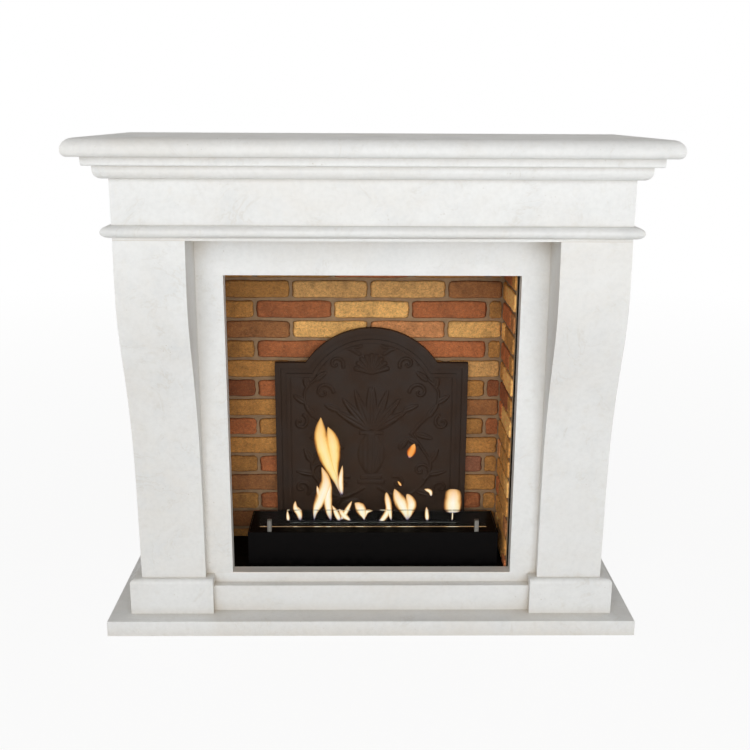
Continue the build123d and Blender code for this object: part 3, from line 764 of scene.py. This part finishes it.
def flame_tongue(name, spine, width, belly, tip=1.1, cooling=0.0):
    """Tongue of flame lofted along a curve through its spine points (x, z).

    At share t of the spine the half-width is a little under half the width times t^p (1 - t)^q, scaled to
    reach its most at the belly, where p = q * belly / (1 - belly). A small q, the tip, gives a blunt end.
    Sections are flattened ellipses, and cooling turns the colour from white-hot to orange.
    """
    flame = bpy.context.scene.fireplace_flame
    rings, sides = 34, 24
    t = np.linspace(0.0, 1.0, rings)
    power = tip * belly / (1 - belly)
    shape = t ** power * (1 - t) ** tip
    half = FLAME_SPREAD * width * np.maximum(shape / shape.max(), FLAME_THINNEST)
    curve = through(spine, t)
    foot = max(curve[0, 1], SLOT_TOP)
    curve[:, 1] = foot + (curve[:, 1] - curve[0, 1]) * flame.height
    along = np.gradient(curve, axis=0)
    along = along / np.linalg.norm(along, axis=1)[:, None]
    angle = np.linspace(0, 2 * math.pi, sides, endpoint=False)
    across = half[:, None] * np.cos(angle)[None]
    x = curve[:, :1] + across * along[:, 1:]
    z = np.maximum(curve[:, 1:] - across * along[:, :1], SLOT_TOP)
    y = reach(SLOT_REACH) - FLAME_FLATNESS * half[:, None] * np.sin(angle)[None]
    points = np.stack([x, y, z], axis=-1).reshape(-1, 3)
    index = np.arange(rings * sides).reshape(rings, sides)
    around = np.roll(index, -1, axis=1)
    faces = np.stack([index[:-1], around[:-1], around[1:], index[1:]], axis=-1).reshape(-1, 4).tolist()
    faces.append(index[0][::-1].tolist())
    faces.append(index[-1].tolist())
    piece = add_piece(name, points, faces, bpy.data.materials["flame_light"], "burner_insert")
    layer = piece.data.color_attributes.new("warmth", "FLOAT_COLOR", "POINT")
    rise = np.repeat(t, sides)
    edge = np.tile(np.abs(np.cos(angle)), rings)
    colour = np.c_[rise, edge, np.full_like(rise, cooling), np.ones_like(rise)]
    layer.data.foreach_set("color", colour.ravel())
    return piece


# Name, spine points (x, z) in metres, width and belly of each tongue, and for some the tip and the cooling.
FLAMES = [
    ("flame_01", ((-0.206, 0.200), (-0.207, 0.211), (-0.208, 0.227)), 0.0105, 0.40),
    ("flame_02", ((-0.176, 0.202), (-0.179, 0.222), (-0.188, 0.236), (-0.188, 0.254)), 0.020, 0.42),
    ("flame_03a", ((-0.142, 0.200), (-0.138, 0.228), (-0.124, 0.261), (-0.112, 0.304), (-0.122, 0.341)),
     0.034, 0.58),
    ("flame_03b", ((-0.100, 0.200), (-0.105, 0.225), (-0.108, 0.261), (-0.107, 0.297), (-0.117, 0.332)),
     0.027, 0.50),
    ("flame_03c", ((-0.124, 0.255), (-0.130, 0.275), (-0.134, 0.294)), 0.012, 0.40),
    ("flame_04a", ((-0.074, 0.265), (-0.090, 0.314), (-0.109, 0.366), (-0.123, 0.417), (-0.123, 0.470)),
     0.046, 0.62, 1.1, 0.35),
    ("flame_04b", ((-0.075, 0.272), (-0.090, 0.330), (-0.092, 0.379), (-0.097, 0.416), (-0.106, 0.446)),
     0.040, 0.58, 1.1, 0.35),
    ("flame_04c", ((-0.072, 0.270), (-0.076, 0.304), (-0.071, 0.347)), 0.017, 0.45),
    ("flame_05a", ((-0.078, 0.200), (-0.087, 0.220), (-0.097, 0.241)), 0.016, 0.40),
    ("flame_05b", ((-0.051, 0.200), (-0.066, 0.213), (-0.080, 0.231)), 0.018, 0.55),
    ("flame_05c", ((-0.076, 0.204), (-0.062, 0.227), (-0.048, 0.254)), 0.016, 0.45),
    ("flame_06a", ((-0.017, 0.200), (-0.020, 0.216), (-0.028, 0.235), (-0.041, 0.247)), 0.030, 0.60),
    ("flame_06b", ((-0.019, 0.208), (-0.012, 0.225), (0.004, 0.229)), 0.014, 0.40),
    ("flame_07a", ((0.050, 0.200), (0.044, 0.231), (0.037, 0.275)), 0.019, 0.62, 0.7),
    ("flame_07b", ((0.019, 0.200), (0.030, 0.206), (0.040, 0.225), (0.039, 0.250)), 0.018, 0.50),
    ("flame_08a", ((0.090, 0.201), (0.084, 0.228), (0.070, 0.255), (0.057, 0.285)), 0.038, 0.55),
    ("flame_08b", ((0.091, 0.203), (0.096, 0.228), (0.099, 0.250), (0.088, 0.272)), 0.032, 0.58, 0.8),
    ("flame_09", ((0.140, 0.201), (0.138, 0.218), (0.137, 0.238)), 0.013, 0.42),
    ("flame_10a", ((0.201, 0.201), (0.202, 0.215), (0.202, 0.240)), 0.004, 0.40),
    ("flame_10b", ((0.202, 0.224), (0.202, 0.245), (0.203, 0.284)), 0.055, 0.50, 0.30),
    ("flame_11", ((0.092, 0.366), (0.098, 0.384), (0.105, 0.403)), 0.023, 0.50, 1.1, 0.95),
    ("flame_12", ((0.074, 0.293), (0.070, 0.299), (0.065, 0.306)), 0.007, 0.50, 1.1, 0.7),
    ("flame_13", ((0.148, 0.266), (0.145, 0.279), (0.131, 0.285)), 0.013, 0.50),
]


class FIREPLACE_OT_flames(bpy.types.Operator):
    """Light the row of flame tongues along the burner's slot"""

    bl_idname = "fireplace.flames"
    bl_label = "Flames"

    def execute(self, context):
        fire("flame_light")
        for tongue in FLAMES:
            flame_tongue(*tongue)
        return {"FINISHED"}


class FIREPLACE_OT_stage(bpy.types.Operator):
    """Set the pale floor, the soft studio light and the camera"""

    bl_idname = "fireplace.stage"
    bl_label = "Studio"

    def execute(self, context):
        scene = context.scene
        scene.view_settings.view_transform = "Standard"
        make_floor()
        make_world()
        add_lamp("key_softbox", (-0.9, -4.6, 2.2), (0, 0, 0.50), 2.8, 93)
        add_lamp("fill_softbox", (1.3, -4.1, 0.4), (0, 0, 0.15), 2.4, 70)
        make_camera(scene)
        return {"FINISHED"}


def white_for_camera(tree, shader_output, factor, surface):
    """Blend a shader with plain white for camera, glossy and transmission rays only."""
    path = tree.nodes.new("ShaderNodeLightPath")
    rays = maths(tree, "MAXIMUM", path.outputs["Is Camera Ray"], path.outputs["Is Glossy Ray"])
    rays = maths(tree, "MAXIMUM", rays, path.outputs["Is Transmission Ray"])
    white = tree.nodes.new("ShaderNodeEmission" if surface else "ShaderNodeBackground")
    white.inputs["Color"].default_value = (1, 1, 1, 1)
    white.inputs["Strength"].default_value = 1.0
    mix = tree.nodes.new("ShaderNodeMixShader")
    tree.links.new(maths(tree, "MULTIPLY", rays, factor), mix.inputs[0])
    tree.links.new(shader_output, mix.inputs[1])
    tree.links.new(white.outputs[0], mix.inputs[2])
    return mix.outputs[0]


FLOOR_RADIUS = 14.0
FLOOR_SIDES = 96
FLOOR_FADE = 5.0
FLOOR_WHITE = 0.92


def make_floor():
    """Large round floor in the plane z = 0."""
    material, tree, shader, vector = new_material("pale_floor", 0.9)
    shader.inputs["Base Color"].default_value = (0.92, 0.92, 0.92, 1)
    out = tree.nodes["Material Output"]
    distance = tree.nodes.new("ShaderNodeVectorMath")
    distance.operation = "LENGTH"
    tree.links.new(vector, distance.inputs[0])
    share = ramp(tree, maths(tree, "DIVIDE", distance.outputs["Value"], FLOOR_FADE),
                 [(0.2, FLOOR_WHITE), (1.0, 1.0)])
    tree.links.new(white_for_camera(tree, shader.outputs[0], share, True), out.inputs["Surface"])
    angle = np.linspace(0, 2 * math.pi, FLOOR_SIDES, endpoint=False)
    points = np.c_[FLOOR_RADIUS * np.cos(angle), FLOOR_RADIUS * np.sin(angle), np.zeros(FLOOR_SIDES)]
    mesh = bpy.data.meshes.new("studio_floor")
    mesh.from_pydata(points.tolist(), [], [list(range(FLOOR_SIDES))])
    mesh.materials.append(material)
    floor = bpy.data.objects.new("studio_floor", mesh)
    bpy.context.scene.collection.objects.link(floor)


def make_world():
    """Even, slightly dim surroundings that the camera sees as white."""
    world = bpy.data.worlds.new("studio_world")
    world.use_nodes = True
    tree = world.node_tree
    background = tree.nodes["Background"]
    background.inputs["Color"].default_value = (1.0, 0.94, 0.86, 1)
    background.inputs["Strength"].default_value = 0.27
    out = tree.nodes["World Output"]
    tree.links.new(white_for_camera(tree, background.outputs[0], 1.0, False), out.inputs["Surface"])
    bpy.context.scene.world = world


def placed(right, up, forward, position):
    """Matrix of a lamp or camera from its three directions and its place."""
    rows = [[right[i], up[i], -forward[i], position[i]] for i in range(3)]
    return Matrix(rows + [[0, 0, 0, 1]])


def aim(position, target):
    """Matrix of a lamp that looks at a target."""
    forward = np.subtract(target, position)
    forward = forward / np.linalg.norm(forward)
    right = np.cross(forward, (0, 0, 1))
    right = right / np.linalg.norm(right)
    up = np.cross(right, forward)
    return placed(right, up, forward, position)


def add_lamp(name, position, target, size, power):
    """Square soft box."""
    data = bpy.data.lights.new(name, "AREA")
    data.size = size
    data.energy = power
    data.color = (0.975, 0.99, 1.0)
    lamp = bpy.data.objects.new(name, data)
    lamp.matrix_world = aim(position, target)
    bpy.context.scene.collection.objects.link(lamp)
    return lamp


SENSOR_WIDTH = 36.0
FOCAL_PIXELS = 1005
PICTURE_PIXELS = 750


def make_camera(scene):
    """Camera of the photograph: stand-point, yaw, pitch, roll and lens from the fitted perspective."""
    position = (-0.0220, -2.2739, 1.1888)
    yaw, pitch, roll = math.radians(0.73), math.radians(14.74), math.radians(0.27)
    forward = np.array([math.sin(yaw) * math.cos(pitch), math.cos(yaw) * math.cos(pitch), -math.sin(pitch)])
    level = np.array([math.cos(yaw), -math.sin(yaw), 0.0])
    upright = np.cross(level, forward)
    right = math.cos(roll) * level + math.sin(roll) * upright
    up = math.cos(roll) * upright - math.sin(roll) * level
    data = bpy.data.cameras.new("photo_camera")
    data.sensor_width = SENSOR_WIDTH
    data.lens = SENSOR_WIDTH * FOCAL_PIXELS / PICTURE_PIXELS
    camera = bpy.data.objects.new("photo_camera", data)
    camera.matrix_world = placed(right, up, forward, position)
    scene.collection.objects.link(camera)
    scene.camera = camera


class FIREPLACE_PT_panel(bpy.types.Panel):
    """Sidebar list of the fireplace's finishing steps"""

    bl_idname = "FIREPLACE_PT_panel"
    bl_label = "Fireplace"
    bl_space_type = "VIEW_3D"
    bl_region_type = "UI"
    bl_category = "Fireplace"

    def draw(self, context):
        layout = self.layout
        scene = context.scene
        for group in (scene.fireplace_stone, scene.fireplace_brick, scene.fireplace_flame):
            for name in group.__annotations__:
                layout.prop(group, name)
        for operator in OPERATORS:
            layout.operator(operator.bl_idname)


OPERATORS = (FIREPLACE_OT_stone, FIREPLACE_OT_metal, FIREPLACE_OT_bricks, FIREPLACE_OT_fireback,
             FIREPLACE_OT_flames, FIREPLACE_OT_stage)
GROUP_CLASSES = (FireplaceStone, FireplaceBrick, FireplaceFlame)


def register():
    """Add the classes and the scene's three groups of settings."""
    for cls in GROUP_CLASSES + OPERATORS + (FIREPLACE_PT_panel,):
        bpy.utils.register_class(cls)
    bpy.types.Scene.fireplace_stone = bpy.props.PointerProperty(type=FireplaceStone)
    bpy.types.Scene.fireplace_brick = bpy.props.PointerProperty(type=FireplaceBrick)
    bpy.types.Scene.fireplace_flame = bpy.props.PointerProperty(type=FireplaceFlame)


def unregister():
    """Take the settings and the classes away again."""
    for name in ("fireplace_stone", "fireplace_brick", "fireplace_flame"):
        delattr(bpy.types.Scene, name)
    for cls in reversed(GROUP_CLASSES + OPERATORS + (FIREPLACE_PT_panel,)):
        bpy.utils.unregister_class(cls)


def main():
    """Run every finishing step in order."""
    register()
    bpy.ops.fireplace.stone()
    bpy.ops.fireplace.metal()
    bpy.ops.fireplace.bricks()
    bpy.ops.fireplace.fireback()
    bpy.ops.fireplace.flames()
    bpy.ops.fireplace.stage()


if __name__ == "__main__":
    main()
